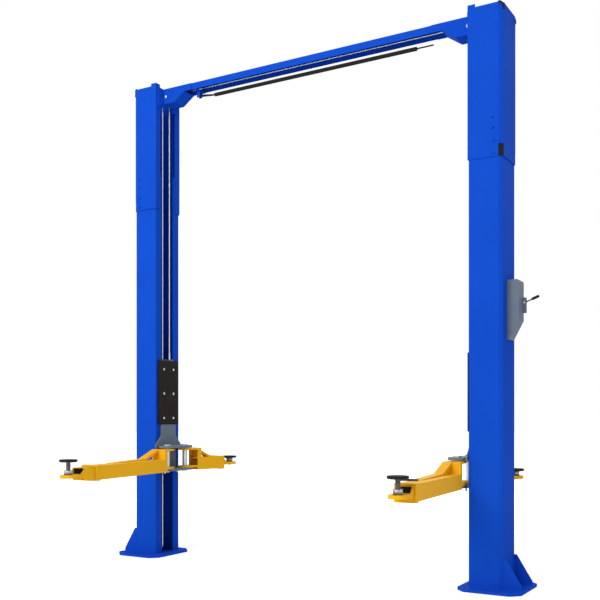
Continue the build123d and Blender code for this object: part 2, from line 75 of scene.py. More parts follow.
def add_node(tree, kind, settings=None, links=None):
    """Adds one shader node, sets its options and sockets, and links sockets to outputs."""
    node = tree.nodes.new("ShaderNode" + kind)
    for key, value in (settings or {}).items():
        if isinstance(key, str) and hasattr(node, key):
            setattr(node, key, value)
        else:
            node.inputs[key].default_value = value
    for key, output in (links or {}).items():
        tree.links.new(output, node.inputs[key])
    return node


def new_material(name):
    """An empty node material and its output node."""
    material = bpy.data.materials.new(name)
    material.use_nodes = True
    material.node_tree.nodes.clear()
    return material, add_node(material.node_tree, "OutputMaterial")


def add_mesh(name, corners, faces):
    """Links a new mesh object from arrays of corners and faces."""
    mesh = bpy.data.meshes.new(name)
    mesh.from_pydata(corners.tolist(), [], faces.tolist())
    piece = bpy.data.objects.new(name, mesh)
    bpy.context.collection.objects.link(piece)
    return piece


sweep_reach = 60.0
sweep_corners = np.array([(-1, -1, 0), (1, -1, 0), (1, 1, 0), (-1, 1, 0)]) * sweep_reach
sweep = add_mesh("studio_sweep", sweep_corners, np.array([[0, 1, 2, 3]]))
sweep_paper, sweep_out = new_material("white sweep paper")
paper_tree = sweep_paper.node_tree
paper_ray = add_node(paper_tree, "LightPath")
paper_seen = add_node(paper_tree, "Math", {"operation": "MAXIMUM"},
                      {0: paper_ray.outputs["Is Camera Ray"], 1: paper_ray.outputs["Is Glossy Ray"]})
# The paper stays white out to the horizon, where the soft boxes no longer reach.
paper_place = add_node(paper_tree, "TexCoord")
paper_away = add_node(paper_tree, "VectorMath", {"operation": "LENGTH"},
                      {0: paper_place.outputs["Object"]})
near_reach, far_reach, near_glow, far_glow = 1.5, 6.0, 0.42, 1.0
paper_fade = add_node(paper_tree, "MapRange",
                      {"From Min": near_reach, "From Max": far_reach,
                       "To Min": near_glow, "To Max": far_glow},
                      {"Value": paper_away.outputs["Value"]})
paper_lift = add_node(paper_tree, "Math", {"operation": "MULTIPLY"},
                      {0: paper_seen.outputs[0], 1: paper_fade.outputs[0]})
paper = add_node(paper_tree, "BsdfPrincipled",
                 {"Base Color": linear("F2F2F2"), "Roughness": 1.0, "Specular IOR Level": 0.0,
                  "Emission Color": linear("FFFFFF")},
                 {"Emission Strength": paper_lift.outputs[0]})
paper_tree.links.new(paper.outputs[0], sweep_out.inputs["Surface"])
sweep.data.materials.append(sweep_paper)

world = bpy.data.worlds.new("studio")
world.use_nodes = True
world_tree = world.node_tree
world_tree.nodes.clear()
world_ray = add_node(world_tree, "LightPath")
world_seen = add_node(world_tree, "Math", {"operation": "MAXIMUM"},
                      {0: world_ray.outputs["Is Camera Ray"], 1: world_ray.outputs["Is Glossy Ray"]})
world_through = add_node(world_tree, "Math", {"operation": "MAXIMUM"},
                         {0: world_seen.outputs[0], 1: world_ray.outputs["Is Transmission Ray"]})
world_colour = add_node(world_tree, "Mix",
                        {"data_type": "RGBA", 6: linear("8C8F94"), 7: linear("FFFFFF")},
                        {0: world_through.outputs[0]})
world_light = add_node(world_tree, "Background", {"Strength": 1.0}, {"Color": world_colour.outputs[2]})
world_out = add_node(world_tree, "OutputWorld")
world_tree.links.new(world_light.outputs[0], world_out.inputs["Surface"])
bpy.context.scene.world = world

# Each soft box: its place, the point it faces, its width in metres and its watts.
soft_boxes = {
    "front box": ((-0.5, -8.5, 5.5), (0.0, 0.0, 1.9), 5.0, 560.0),
    "right box": ((7.5, -1.0, 4.0), (0.0, 0.0, 1.9), 4.0, 120.0),
    "left box": ((-7.0, -2.5, 4.5), (0.0, 0.0, 1.9), 4.0, 120.0),
    "back box": ((0.5, 7.0, 5.5), (0.0, 0.0, 2.0), 5.0, 200.0),
    "top box": ((0.0, 0.0, 9.0), (0.0, 0.0, 1.9), 5.0, 110.0),
}
for box_name, (place, aim, width, watts) in soft_boxes.items():
    lamp_data = bpy.data.lights.new(box_name, "AREA")
    lamp_data.size = width
    lamp_data.energy = watts
    lamp = bpy.data.objects.new(box_name, lamp_data)
    ray = np.array(aim) - np.array(place)
    turn = math.atan2(-ray[0], ray[1])
    lamp.rotation_euler = (math.acos(-ray[2] / np.linalg.norm(ray)), 0, turn)
    lamp.location = place
    bpy.context.collection.objects.link(lamp)


# Columns, extensions, base plates and overhead beam. They are folded and welded
# from 6 mm sheet and 20 mm plate, and powder coated blue after welding.
def sprayed_paint(name, colour, deep, roughness, peel, sheen=0.03):
    """Paint sprayed on steel: colour that drifts to a deeper tone over about 600 mm
    where the coat is thicker, and an orange peel whose cells are peel metres wide. The
    sheen is low, so that a side seen at a slant keeps its colour."""
    drift_length, peel_strength, peel_depth = 0.6, 0.12, 0.0006
    glossier, duller = 0.06, 0.08
    material, out = new_material(name)
    tree = material.node_tree
    place = add_node(tree, "TexCoord")
    drift = add_node(tree, "TexNoise", {"Scale": 1 / drift_length, "Detail": 3.0},
                     {"Vector": place.outputs["Object"]})
    coat = add_node(tree, "Mix", {"data_type": "RGBA", 6: linear(colour), 7: linear(deep)},
                    {0: drift.outputs[0]})
    cells = add_node(tree, "TexNoise", {"Scale": 1 / peel, "Detail": 2.0},
                     {"Vector": place.outputs["Object"]})
    skin = add_node(tree, "Bump", {"Strength": peel_strength, "Distance": peel_depth},
                    {"Height": cells.outputs[0]})
    haze = add_node(tree, "MapRange", {"To Min": roughness - glossier, "To Max": roughness + duller},
                    {"Value": drift.outputs[0]})
    paint = add_node(tree, "BsdfPrincipled", {"IOR": 1.5, "Specular IOR Level": sheen},
                     {"Base Color": coat.outputs[2], "Roughness": haze.outputs[0],
                      "Normal": skin.outputs[0]})
    tree.links.new(paint.outputs[0], out.inputs["Surface"])
    return material


def dress(nodes, material):
    """Gives CAD nodes their material in place of the plain one."""
    for node in nodes:
        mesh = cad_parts[node].data
        mesh.materials.clear()
        mesh.materials.append(material)


# Powder coat flows into a fine even orange peel of about 4 mm, drawn at 6 mm. It is
# almost matt beside the enamels.
blue_coat = sprayed_paint("blue powder coat", "1652CC", "1247BC", 0.42, 0.006, 0.002)
dress(["left_base_plate", "right_base_plate", "left_column", "right_column", "left_extension",
       "right_extension", "left_beam_head", "right_beam_head", "overhead_beam",
       "shut_off_bracket"], blue_coat)


# Welds. Each seam is a run of stacked puddles left by the welding wire, painted
# over with the plates. They close the foot of each column and its gussets.
def tube(path, radius, around):
    """A tube of rings carried along a path of points. Each ring stands square to the
    path, turned so that its first point is level: across is the way ahead crossed with
    an upright, or with X where the path itself goes up."""
    path = np.asarray(path, float)
    radius = np.broadcast_to(radius, len(path))
    ahead = np.gradient(path, axis=0)
    ahead /= np.linalg.norm(ahead, axis=1)[:, None]
    upright = np.where(np.abs(ahead[:, 2:]) > 0.9, (1.0, 0.0, 0.0), (0.0, 0.0, 1.0))
    across = np.cross(ahead, upright)
    across /= np.linalg.norm(across, axis=1)[:, None]
    over = np.cross(across, ahead)
    turn = np.linspace(0, 2 * np.pi, around, endpoint=False)
    ring = np.cos(turn)[None, :, None] * across[:, None] + np.sin(turn)[None, :, None] * over[:, None]
    return path[:, None] + radius[:, None, None] * ring


def close_rings(grid):
    """The corners and faces of a grid of rings: four-sided faces join each ring to the
    next, and a fan of triangles closes each end at its middle."""
    rows, around = grid.shape[:2]
    low = np.arange(rows - 1)[:, None] * around + np.arange(around)
    low_next = np.roll(low, -1, axis=1)
    quads = np.stack([low, low_next, low_next + around, low + around], axis=-1).reshape(-1, 4)
    first, last = rows * around, rows * around + 1
    start = np.arange(around)
    end = start + (rows - 1) * around
    fans = np.concatenate([np.stack([start, np.full(around, first), np.roll(start, -1)], axis=-1),
                           np.stack([end, np.roll(end, -1), np.full(around, last)], axis=-1)])
    corners = np.concatenate([grid.reshape(-1, 3), grid[:1].mean(axis=1), grid[-1:].mean(axis=1)])
    return corners, quads, fans


def add_rings(name, grids, material, body=None, smooth=True):
    """One piece from several grids of rings, coloured, shaded, and set on its body, if one
    is named."""
    corners, faces, offset = [], [], 0
    for grid in grids:
        points, quads, fans = close_rings(np.asarray(grid))
        corners.append(points)
        faces += (quads + offset).tolist() + (fans + offset).tolist()
        offset += len(points)
    mesh = bpy.data.meshes.new(name)
    mesh.from_pydata(np.concatenate(corners).tolist(), [], faces)
    shell = bmesh.new()
    shell.from_mesh(mesh)
    bmesh.ops.recalc_face_normals(shell, faces=shell.faces)
    shell.to_mesh(mesh)
    shell.free()
    mesh.polygons.foreach_set("use_smooth", np.full(len(mesh.polygons), smooth))
    mesh.materials.append(material)
    piece = bpy.data.objects.new(name, mesh)
    bpy.context.collection.objects.link(piece)
    if body:
        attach(piece, body)
    return piece


def weld(start, end, size, pitch=0.009):
    """A seam from start to end: a tube whose radius swells once for each puddle, and
    narrows at both ends as the root of the distance."""
    start, end = np.array(start, float), np.array(end, float)
    length = np.linalg.norm(end - start)
    steps = max(int(length / pitch) * 4, 8)
    along = np.linspace(0, 1, steps)
    valley, ending, around = 0.78, 0.05, 8
    puddle = valley + (1 - valley) * np.abs(np.sin(np.pi * along * length / pitch))
    taper = np.sqrt(np.clip(np.minimum(along, 1 - along) * length / size, ending, 1))
    return tube(start + along[:, None] * (end - start), size * taper * puddle, around)


columns = (("left", -1), ("right", 1))
column_inner, column_outer, column_half, column_lip = 1.316, 1.538, 0.145, 0.075
bevel = 0.022
plate_top = 0.020
gusset_y, gusset_half, gusset_top, gusset_out = 0.118, 0.005, 0.214, 1.660
column_weld, gusset_weld = 0.006, 0.004
for name, side in columns:
    seams = []
    for edge in (-1, 1):
        foot = [(column_inner, edge * column_lip), (column_inner, edge * column_half),
                (column_outer - bevel, edge * column_half),
                (column_outer, edge * (column_half - bevel)), (column_outer, 0.0)]
        for near, far in zip(foot, foot[1:]):
            seams.append(weld((side * near[0], near[1], plate_top), (side * far[0], far[1], plate_top),
                              column_weld))
        for face in (gusset_y - gusset_half, gusset_y + gusset_half):
            seams.append(weld((side * column_outer, edge * face, plate_top + gusset_weld),
                              (side * column_outer, edge * face, gusset_top), gusset_weld))
            seams.append(weld((side * (column_outer + gusset_weld), edge * face, plate_top),
                              (side * gusset_out, edge * face, plate_top), gusset_weld))
    add_rings(name + "_column_welds", seams, blue_coat, "frame")

# Under each beam head, a seam up both sides of its end plate, and one where each side
# of the head laps over the beam.
head_face, head_plate_y, head_lower, head_upper = 1.2995, 0.066, 3.670, 3.788
lap_start, lap_end, lap_y, lap_z = 1.022, 1.086, 0.0605, 3.7405
head_weld, lap_weld = 0.004, 0.003
for name, side in columns:
    seams = [weld((side * head_face, edge * head_plate_y, head_lower),
                  (side * head_face, edge * head_plate_y, head_upper), head_weld) for edge in (-1, 1)]
    seams += [weld((side * lap_start, edge * lap_y, lap_z), (side * lap_end, edge * lap_y, lap_z),
                   lap_weld) for edge in (-1, 1)]
    add_rings(name + "_beam_head_welds", seams, blue_coat, "frame")


# Bolts. Hexagon bolts with washers hold each extension to its column head and
# each beam head to its extension. They are painted over with the plates.
def hexagon_reach(turn, across):
    """How far the sides of a hexagon stand from its middle in each direction of turn:
    half its width over the cosine of the angle from the nearest side's middle."""
    return across / 2 / np.cos((turn + np.pi / 6) % (np.pi / 3) - np.pi / 6)


def hexagon_bolt(place, axis, across, height, washer=True):
    """A bolt head on its washer, as rings from the seat outwards: the washer is round,
    and the head is a hexagon whose corners a cone cuts back near its top. Radii are
    shares of the width across the flats, and lifts are shares of the height."""
    around = 24
    washer_reach, cone_reach, top_reach, mark_reach = np.array([0.62, 0.53, 0.47, 0.2]) * across
    washer_lift, side_lift, cone_lift = np.array([0.15, 0.72, 0.93]) * height
    axis = np.array(axis, float) / np.linalg.norm(axis)
    side = np.cross(axis, (0, 0, 1) if abs(axis[2]) < 0.9 else (1, 0, 0))
    side /= np.linalg.norm(side)
    over = np.cross(axis, side)
    turn = np.linspace(0, 2 * np.pi, around, endpoint=False)
    flat = hexagon_reach(turn, across)
    rim = np.full(around, washer_reach)
    rise = washer_lift if washer else 0.0
    rows = [(0.0, rim), (rise, rim)] if washer else []
    rows += [(rise, flat), (rise + side_lift, flat),
             (rise + cone_lift, np.minimum(flat, cone_reach)),
             (rise + height, np.minimum(flat, top_reach)),
             (rise + height, np.full(around, mark_reach))]
    grid = [np.array(place) + axis * lift + reach[:, None] * (np.cos(turn)[:, None] * side
            + np.sin(turn)[:, None] * over) for lift, reach in rows]
    return np.array(grid)


extension_bottom, extension_half = 2.810, 0.1515
bolt_x, bolt_rows = 1.4823, (0.025, 0.100)
head_bolt_y, head_bolt_rows = 0.100, (3.670, 3.750)
bolt_across, bolt_height = 0.019, 0.008
for name, side in columns:
    heads = [hexagon_bolt((side * bolt_x, edge * extension_half, extension_bottom + row), (0, edge, 0),
                          bolt_across, bolt_height) for edge in (-1, 1) for row in bolt_rows]
    add_rings(name + "_extension_bolts", heads, blue_coat, "frame", smooth=False)
    heads = [hexagon_bolt((side * head_face, edge * head_bolt_y, height), (-side, 0, 0),
                          bolt_across, bolt_height) for edge in (-1, 1) for height in head_bolt_rows]
    add_rings(name + "_beam_head_bolts", heads, blue_coat, "frame", smooth=False)


# Sheaves and their pins. The wheels are cast iron, painted black. They run on pins of
# turned steel, whose caps show on both sides of each beam head.
# Enamel on a rough casting: a soft black that shows no metal.
black_iron = sprayed_paint("black enamel on cast iron", "26272A", "1B1C1E", 0.5, 0.004)
dress(["head_sheaves", "base_sheaves", "release_lever", "shut_off_rod"], black_iron)


def bare_steel(name, colour, grain_length, grain_width, roughness):
    """Bare machined steel: fine turning lines that vary the gloss, over a metal colour."""
    glossier, duller, line_strength, line_depth = 0.1, 0.12, 0.15, 0.0003
    grain = (1 / grain_length, 1 / grain_length, 1 / grain_width)
    material, out = new_material(name)
    tree = material.node_tree
    place = add_node(tree, "TexCoord")
    stretch = add_node(tree, "Mapping", {"Scale": grain}, {"Vector": place.outputs["Object"]})
    lines = add_node(tree, "TexNoise", {"Scale": 1.0, "Detail": 2.0}, {"Vector": stretch.outputs[0]})
    gloss = add_node(tree, "MapRange", {"To Min": roughness - glossier, "To Max": roughness + duller},
                     {"Value": lines.outputs[0]})
    relief = add_node(tree, "Bump", {"Strength": line_strength, "Distance": line_depth},
                      {"Height": lines.outputs[0]})
    metal = add_node(tree, "BsdfPrincipled", {"Base Color": linear(colour), "Metallic": 1.0},
                     {"Roughness": gloss.outputs[0], "Normal": relief.outputs[0]})
    tree.links.new(metal.outputs[0], out.inputs["Surface"])
    return material


# Zinc plate on turned pins: soft grey gloss, turning lines 1 mm apart drawn at 2 mm.
zinc_steel = bare_steel("zinc plated turned steel", "B9BCC0", 0.02, 0.002, 0.34)
dress(["left_arm_pins", "right_arm_pins"], zinc_steel)

# Each pin's cap, as its height over the head's side and its radius: a disc with a
# small chamfer.
sheave_x, sheave_z, pin_reach = 1.284, 3.728, 0.066
pin_cap = [(0.0, 0.0145), (0.003, 0.0145), (0.004, 0.0135), (0.004, 0.004)]
turn = np.linspace(0, 2 * np.pi, 32, endpoint=False)
for name, side in columns:
    ends = [np.array([np.stack([side * sheave_x + reach * np.cos(turn),
                                np.full(32, edge * (pin_reach + lift)),
                                sheave_z + reach * np.sin(turn)], axis=1)
                      for lift, reach in pin_cap]) for edge in (-1, 1)]
    add_rings(name + "_sheave_pin_caps", ends, zinc_steel, "frame")


# Cables. Two wire ropes of six strands keep the carriages level. Each runs from
# one carriage over both beam heads, down, round the far foot and up to the other.
def laid_rope(path, radius, lay=0.06, strands=6):
    """A rope along a path: its surface bulges once for each strand, and the bulges turn
    about the rope once in each lay length. The wave is the size of the cosine of half
    the strands times the angle about the rope, the lay's turn included."""
    path = np.asarray(path, float)
    around = strands * 4
    grid = tube(path, radius, around)
    travelled = np.concatenate([[0], np.cumsum(np.linalg.norm(np.diff(path, axis=0), axis=1))])
    turn = np.linspace(0, 2 * np.pi, around, endpoint=False)
    wave = np.abs(np.cos(strands / 2 * (turn[None] + 2 * np.pi * travelled[:, None] / lay)))
    hollow = 0.80
    share = hollow + (1 - hollow) * wave
    return path[:, None] + (grid - path[:, None]) * share[..., None]


def straight(start, end, step=0.012):
    """Points from start to end, about a step apart."""
    count = max(int(np.linalg.norm(np.array(end) - np.array(start)) / step), 2)
    return np.linspace(start, end, count)


def arc(centre, radius, first, last, step=0.012):
    """Points on an arc in the XZ plane, from the first to the last angle in degrees."""
    fewest = 6
    count = max(int(abs(math.radians(last - first)) * radius / step), fewest)
    angle = np.radians(np.linspace(first, last, count))
    return np.stack([centre[0] + radius * np.cos(angle), np.full(count, centre[1]),
                     centre[2] + radius * np.sin(angle)], axis=1)


def join_runs(*runs):
    """One path from several runs, without the doubled points where they meet."""
    return np.concatenate([runs[0]] + [run[1:] for run in runs[1:]])


# Galvanised wire: pale grey, dulled by oil, so less glossy than the pins.
rope_steel = bare_steel("oiled galvanised wire rope", "C4C8CE", 0.004, 0.004, 0.5)
# Each cable keeps to its own side of the middle. The leads are the radii at which it
# rounds the head sheaves and the foot sheave.
cable_radius, cable_y, cable_x = 0.005, 0.044, 1.331
head_lead, foot_x, foot_z, foot_lead = 0.047, 1.370, 0.082, 0.039
runs = []
for side in (-1, 1):
    y = -side * cable_y
    near, far = side * sheave_x, -side * sheave_x
    near_ends = (0, 90) if side == 1 else (180, 90)
    far_ends = (90, 180) if side == 1 else (90, 0)
    foot_ends = (180, 360) if side == -1 else (360, 180)
    path = join_runs(arc((near, y, sheave_z), head_lead, *near_ends),
                     straight((near, y, sheave_z + head_lead), (far, y, sheave_z + head_lead)),
                     arc((far, y, sheave_z), head_lead, *far_ends),
                     straight((-side * cable_x, y, sheave_z), (-side * cable_x, y, foot_z)),
                     arc((-side * foot_x, y, foot_z), foot_lead, *foot_ends))
    runs.append(laid_rope(path, cable_radius))
equaliser = add_rings("equaliser_wire_ropes", runs, rope_steel, "frame")
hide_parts("equaliser_cables")


# Cable runs that change. The rope between a head sheave and the top of a carriage
# grows shorter as the carriage climbs, and the one from its foot sheave longer.
carriage_top, carriage_foot = 1.600, 0.800
# The right carriage hangs 32 mm lower than the left one.
carriage_drop = {"left": 0.0, "right": 0.032}
for name, side in columns:
    drop = carriage_drop[name]
    high = (side * cable_x, -side * cable_y, sheave_z)
    low = (side * cable_x, -side * cable_y, carriage_top - drop)
    lift_rope = laid_rope(straight(high, low), cable_radius)
    lift_run = add_rings(name + "_lift_wire_rope", [lift_rope], rope_steel)
    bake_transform(lift_run)
    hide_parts(name + "_lift_cable_run")
    return_x = side * (foot_x + foot_lead)
    low = (return_x, side * cable_y, foot_z)
    high = (return_x, side * cable_y, carriage_foot - drop)
    return_rope = laid_rope(straight(low, high), cable_radius)
    return_run = add_rings(name + "_return_wire_rope", [return_rope], rope_steel)
    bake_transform(return_run)
    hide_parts(name + "_return_cable_run")


# Cable ends. A steel stud is swaged on the upper end of each rope and stands on top of
# the carriage's block, where a zinc plated nut holds it.
def nut(place, axis, across, height):
    """A hexagon nut as rings along its axis, with a cone cutting both rims. The cone's
    radius is a share of the width, and the rim a share of the height."""
    around, cone_share, rim = 24, 0.53, 0.1
    axis = np.array(axis, float)
    side = np.cross(axis, (1, 0, 0) if abs(axis[0]) < 0.9 else (0, 1, 0))
    over = np.cross(axis, side)
    turn = np.linspace(0, 2 * np.pi, around, endpoint=False)
    flat = hexagon_reach(turn, across)
    trimmed = np.minimum(flat, across * cone_share)
    rows = [(0.0, trimmed), (rim, flat), (1 - rim, flat), (1.0, trimmed)]
    return np.array([np.array(place) + axis * lift * height
                     + reach[:, None] * (np.cos(turn)[:, None] * side + np.sin(turn)[:, None] * over)
                     for lift, reach in rows])


stud_length, stud_radius, stud_step, stud_around = 0.055, 0.0075, 0.005, 16
nut_across, nut_height = 0.019, 0.011
for name, side in columns:
    seat = (side * cable_x, -side * cable_y, carriage_top - carriage_drop[name])
    tip = (seat[0], seat[1], seat[2] + stud_length)
    stud = tube(straight(seat, tip, stud_step), stud_radius, stud_around)
    add_rings(name + "_cable_studs", [stud, nut(seat, (0, 0, 1), nut_across, nut_height)], zinc_steel,
              name + "_carriage")


# Shut-off bar. A steel rod in a foam sleeve hangs from a pin under the beam; a tall
# roof lifts it and cuts the power. The sleeve is closed cell foam, matt black.
foam, foam_out = new_material("black closed cell foam")
foam_tree = foam.node_tree
foam_place = add_node(foam_tree, "TexCoord")
# Cells about 1 mm wide, drawn at 4 mm so that they show.
foam_cells = add_node(foam_tree, "TexVoronoi", {"Scale": 1 / 0.004},
                      {"Vector": foam_place.outputs["Object"]})
foam_skin = add_node(foam_tree, "Bump", {"Strength": 0.35, "Distance": 0.001},
                     {"Height": foam_cells.outputs["Distance"]})
foam_tone = add_node(foam_tree, "Mix", {"data_type": "RGBA", 6: linear("2B2A29"), 7: linear("1C1B1B")},
                     {0: foam_cells.outputs["Distance"]})
foam_coat = add_node(foam_tree, "BsdfPrincipled",
                     {"Roughness": 0.9, "IOR": 1.45, "Specular IOR Level": 0.12},
                     {"Base Color": foam_tone.outputs[2], "Normal": foam_skin.outputs[0]})
foam_tree.links.new(foam_coat.outputs[0], foam_out.inputs["Surface"])
dress(["shut_off_foam"], foam)


# Control cover and lever. The cover is pressed from 3 mm sheet and sprayed grey; it
# hides the lock linkage. Pulling the lever down frees the locks of both columns.
# Sprayed enamel on smooth sheet: an even cool grey with a low gloss.
grey_coat = sprayed_paint("grey enamel on pressed steel", "737C8B", "6B7484", 0.42, 0.005)
dress(["control_cover"], grey_coat)
cover_y, screw_x, screw_rows = (-0.043, 0.072), 1.560, (1.690, 1.985)
screw_across, screw_height = 0.010, 0.005
screws = [hexagon_bolt((screw_x, y, height), (0, edge, 0), screw_across, screw_height)
          for y, edge in zip(cover_y, (-1, 1)) for height in screw_rows]
add_rings("cover_screws", screws, grey_coat, "frame", smooth=False)
lever_x, lever_y, lever_z, lever_half = 1.628, 0.052, 1.880, 0.013
pin_across, pin_height = 0.013, 0.004
pin_heads = [hexagon_bolt((lever_x, lever_y + edge * lever_half, lever_z), (0, edge, 0),
                          pin_across, pin_height, washer=False) for edge in (-1, 1)]
add_rings("lever_pin_heads", pin_heads, zinc_steel, "frame", smooth=False)


# Carriages. Each is a welded frame inside its column, with a bottle shaped plate in
# front of the slot and two brackets for the arm pins, sprayed grey.
# The same enamel on thick plate: a little paler and duller, with larger cells.
carriage_coat = sprayed_paint("grey enamel on welded plate", "76828F", "6C7886", 0.45, 0.006)
dress(["left_carriage", "right_carriage"], carriage_coat)
# Polyethylene is a waxy white, greyed by grease.
slider_plastic, slider_out = new_material("moulded high density polyethylene")
slider_tree = slider_plastic.node_tree
slider_place = add_node(slider_tree, "TexCoord")
# Greased faces: patches about 30 mm wide where the white plastic has gone grey.
slider_grease = add_node(slider_tree, "TexNoise", {"Scale": 1 / 0.03, "Detail": 3.0},
                         {"Vector": slider_place.outputs["Object"]})
slider_tone = add_node(slider_tree, "Mix",
                       {"data_type": "RGBA", 6: linear("D9D6CC"), 7: linear("A9A498")},
                       {0: slider_grease.outputs[0]})
slider_body = add_node(slider_tree, "BsdfPrincipled", {"Roughness": 0.5, "IOR": 1.53},
                       {"Base Color": slider_tone.outputs[2]})
slider_tree.links.new(slider_body.outputs[0], slider_out.inputs["Surface"])
dress(["left_slider_blocks", "right_slider_blocks"], slider_plastic)

plate_front, bracket_low, bracket_high, bracket_thick = 1.302, 0.692, 0.876, 0.018
bracket_half, bracket_weld = 0.090, 0.005
for name, side in columns:
    seams = []
    for bracket in (bracket_low, bracket_high):
        top = bracket + bracket_thick - carriage_drop[name]
        seams.append(weld((side * plate_front, -bracket_half, top),
                          (side * plate_front, bracket_half, top), bracket_weld))
    add_rings(name + "_bracket_welds", seams, carriage_coat, name + "_carriage")


# Door pads. A slab of black rubber on each face plate keeps car doors from the
# steel; six bolts hold it, whose flat zinc plated heads stand just proud of its face.
def moulded_rubber(name, colour, deep, grain):
    """Black rubber with a dry bloom: tone and gloss drift over 80 mm, with a fine grain."""
    bloom_length, grain_strength, grain_depth, glossiest, dullest = 0.08, 0.3, 0.0008, 0.6, 0.85
    material, out = new_material(name)
    tree = material.node_tree
    place = add_node(tree, "TexCoord")
    bloom = add_node(tree, "TexNoise", {"Scale": 1 / bloom_length, "Detail": 4.0},
                     {"Vector": place.outputs["Object"]})
    tone = add_node(tree, "Mix", {"data_type": "RGBA", 6: linear(colour), 7: linear(deep)},
                    {0: bloom.outputs[0]})
    speck = add_node(tree, "TexNoise", {"Scale": 1 / grain, "Detail": 2.0},
                     {"Vector": place.outputs["Object"]})
    skin = add_node(tree, "Bump", {"Strength": grain_strength, "Distance": grain_depth},
                    {"Height": speck.outputs[0]})
    dull = add_node(tree, "MapRange", {"To Min": glossiest, "To Max": dullest},
                    {"Value": bloom.outputs[0]})
    body = add_node(tree, "BsdfPrincipled", {"IOR": 1.52, "Specular IOR Level": 0.12},
                    {"Base Color": tone.outputs[2], "Roughness": dull.outputs[0],
                     "Normal": skin.outputs[0]})
    tree.links.new(body.outputs[0], out.inputs["Surface"])
    return material


# Rubber from a mould: a warm black without shine, its grain 3 mm wide so that it shows.
pad_rubber = moulded_rubber("moulded black rubber", "1C1413", "120D0C", 0.003)
dress(["left_door_pad", "right_door_pad"], pad_rubber)
pad_front, pad_rows, pad_columns = 1.300, (1.118, 1.317, 1.515), (-0.060, 0.060)
# Each bolt head, as its height over the face and its radius, with a dimple in it.
bolt_head = [(-0.002, 0.0095), (0.0010, 0.0095), (0.0016, 0.0085), (0.0016, 0.0045), (0.0, 0.0035)]
turn = np.linspace(0, 2 * np.pi, 24, endpoint=False)
for name, side in columns:
    heads = [np.array([np.stack([np.full(24, side * (pad_front - lift)), y + reach * np.cos(turn),
                                 height - carriage_drop[name] + reach * np.sin(turn)], axis=1)
                       for lift, reach in bolt_head]) for height in pad_rows for y in pad_columns]
    add_rings(name + "_door_pad_bolts", heads, zinc_steel, name + "_carriage")


# Extension corners. A rounded plate closes each notch at the top, under a black rubber
# edging, and a dark strip in each notch at the bottom is painted shade for that notch.
bevel_start, bevel_end = (1.5187, 0.1515), (1.5445, 0.1257)
extension_top, notch_low, notch_high, corner_fall = 3.800, 2.890, 3.750, 0.034
# Extruded rubber: black, and duller than the paint beside it; also the painted notch shade.
edging_rubber_and_notch_shade = moulded_rubber("black rubber edging and painted notch shade", "1F1B1A", "161312", 0.003)


def on_bevel(side, edge, points, lift):
    """Points given across a bevel and up, set on it and raised from it by lift. The bevel
    stands at 45 degrees, so the lift moves them by its length times the root of a half
    in X and in Y."""
    points = np.asarray(points, float)
    start, end = np.array(bevel_start), np.array(bevel_end)
    across = (end - start) / np.linalg.norm(end - start)
    flat = start + points[:, :1] * across + lift * math.sqrt(0.5)
    return np.column_stack([side * flat[:, 0], edge * flat[:, 1], points[:, 1]])


# The plate's top edge falls in a quarter of an ellipse. Each skin is a distance from
# the bevel, and what is below zero lies inside it.
bevel_width = math.dist(bevel_start, bevel_end)
crown_start, edging_tail = 0.006, 0.004
plate_skins, notch_shade_skins = (-0.006, -0.0003), (-0.0055, -0.0015)
edging_lift, edging_radius, edging_around = -0.003, 0.0085, 8
fall = np.linspace(0, np.pi / 2, 10)
crown = np.stack([crown_start + (bevel_width - crown_start) * np.sin(fall),
                  extension_top - corner_fall * (1 - np.cos(fall))], axis=1)
top_outline = np.concatenate([[(0.0, notch_high), (0.0, extension_top)], crown,
                              [(bevel_width, notch_high)]])
edging_line = np.concatenate([[(0.0, extension_top)], crown,
                              [(bevel_width, notch_high + edging_tail)]])
# The dark strip in each bottom notch, painted shade for that notch.
notch_shade_outline = [(0.0, extension_bottom), (0.0, notch_low),
                 (bevel_width, notch_low), (bevel_width, extension_bottom)]
corner_plates, edgings, notch_shades = [], [], []
for side in (-1, 1):
    for edge in (-1, 1):
        corner_plates.append([on_bevel(side, edge, top_outline, skin) for skin in plate_skins])
        notch_shades.append([on_bevel(side, edge, notch_shade_outline, skin) for skin in notch_shade_skins])
        edgings.append(tube(on_bevel(side, edge, edging_line, edging_lift), edging_radius,
                            edging_around))
add_rings("extension_corner_plates", corner_plates, blue_coat, "frame", smooth=False)
add_rings("extension_corner_edgings", edgings, edging_rubber_and_notch_shade, "frame")
add_rings("extension_notch_shade_strips", notch_shades, edging_rubber_and_notch_shade, "frame", smooth=False)


# Swing arms. Box tubes with a tall welded root, sprayed yellow. Each turns on its
# pin with a clevis of two ears, and a flat brace ties the top ear to the tube.
# Sprayed enamel: a warm yellow that goes deeper where the coat is thick.
yellow_coat = sprayed_paint("yellow enamel on welded steel", "F8BC22", "EDAE18", 0.42, 0.005)
arm_names = ["left_front", "left_back", "right_front", "right_back"]
dress([name + part for name in arm_names for part in ("_arm", "_inner_arm")], yellow_coat)
pin_x, pin_y = 1.225, 0.113
# Each arm: its column's side, its own end, how far it is turned from square in degrees
# and its length from the pin. Then how far its inner arm is drawn out.
arm_stance = {"left_front": (-1, -1, 8.0, 1.040), "left_back": (-1, 1, 13.0, 0.378),
              "right_front": (1, -1, -4.4, 1.040), "right_back": (1, 1, -22.0, 0.378)}
arm_drawn = {"left_front": 0.113, "left_back": 0.0, "right_front": 0.0, "right_back": 0.0}
arm_roof, arm_half = 0.790, 0.060


def stand(name):
    """An arm's stand: its pin's two places, how far its carriage hangs down, and the
    cosine and the sine of the way it points. Square is 90 degrees to the bay's width."""
    column, end, angle = arm_stance[name][:3]
    turn = math.radians(end * 90 + column * end * angle)
    drop = carriage_drop[name.split("_")[0]]
    return column * pin_x, end * pin_y, drop, math.cos(turn), math.sin(turn)


